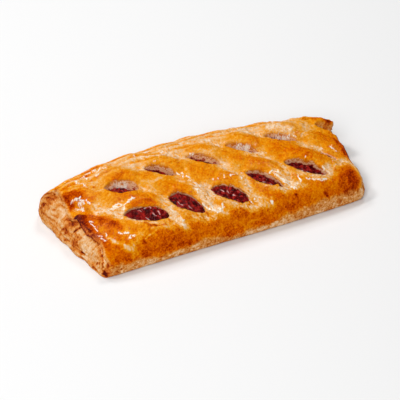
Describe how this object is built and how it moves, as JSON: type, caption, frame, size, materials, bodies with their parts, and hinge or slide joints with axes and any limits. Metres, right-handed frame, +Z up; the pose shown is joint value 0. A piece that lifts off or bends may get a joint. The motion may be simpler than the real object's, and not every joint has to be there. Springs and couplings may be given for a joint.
{
  "type": "berry strudel",
  "caption": "Single folded puff pastry strudel with slanting slits across its domed top that show a dark red berry filling.",
  "frame": {"origin": "centre of the bounding box in plan, on the flat bottom", "axes": "+X along the pastry from its layered left end to its right end, +Y from the folded side to the seam side, +Z up"},
  "size_m": [0.1506, 0.0646, 0.0253],
  "materials": {
    "crust": "baked puff pastry with an egg and sugar glaze",
    "filling": "wet, glossy cooked berries"
  },
  "bodies": {
    "root": {"crust": "crust", "filling": "filling"}
  },
  "joints": []
}
